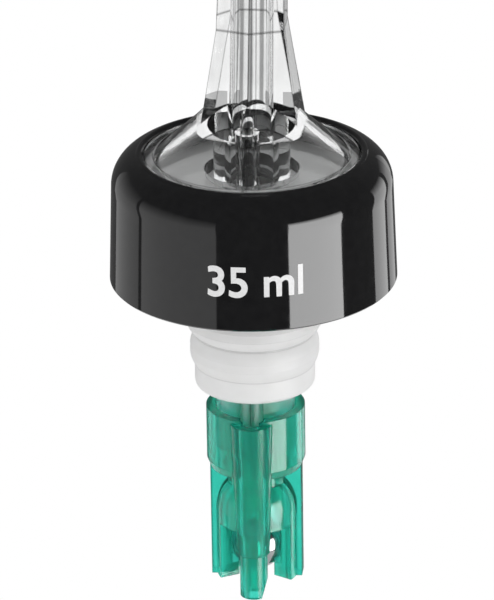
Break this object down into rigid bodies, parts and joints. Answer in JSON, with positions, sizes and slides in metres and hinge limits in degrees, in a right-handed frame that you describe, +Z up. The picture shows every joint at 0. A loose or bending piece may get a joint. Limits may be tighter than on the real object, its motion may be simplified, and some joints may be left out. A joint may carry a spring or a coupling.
{
  "type": "measured pourer",
  "caption": "Bottle pourer that gives a fixed measure and shuts itself off: clear leaning spout, black collar, ribbed plug and green cage with steel balls.",
  "frame": {"origin": "on the pourer's axis, at the underside of the plug's flange, where it rests on the bottle's lip", "axes": "+Z up along the plug's axis; the vent is at the front (-Y) and the spout leans to the back (+Y)"},
  "size_m": [0.0452, 0.0452, 0.1222],
  "materials": {
    "clear_plastic": "clear, polished",
    "black_plastic": "high gloss",
    "white_polyethylene": "waxy, translucent",
    "green_plastic": "translucent, glossy",
    "polished_steel": "polished"
  },
  "bodies": {
    "pourer": {"spout": "clear_plastic", "collar": "black_plastic", "stem": "clear_plastic", "cork_plug": "white_polyethylene", "ball_cage": "green_plastic"},
    "reset_ball": {"reset_ball": "polished_steel"},
    "measuring_ball": {"measuring_ball": "polished_steel"},
    "vent_ball": {"vent_ball": "polished_steel"}
  },
  "joints": [
    {"name": "reset_ball_slide", "type": "slide", "parent": "pourer", "child": "reset_ball", "axis": [0, 0, 1], "range_m": [0, 0.0067]},
    {"name": "measuring_ball_slide", "type": "slide", "parent": "pourer", "child": "measuring_ball", "axis": [0, 0, 1], "range_m": [0, 0.0235]},
    {"name": "vent_ball_slide", "type": "slide", "parent": "pourer", "child": "vent_ball", "axis": [0, 0, 1], "range_m": [0, 0.0117]}
  ]
}
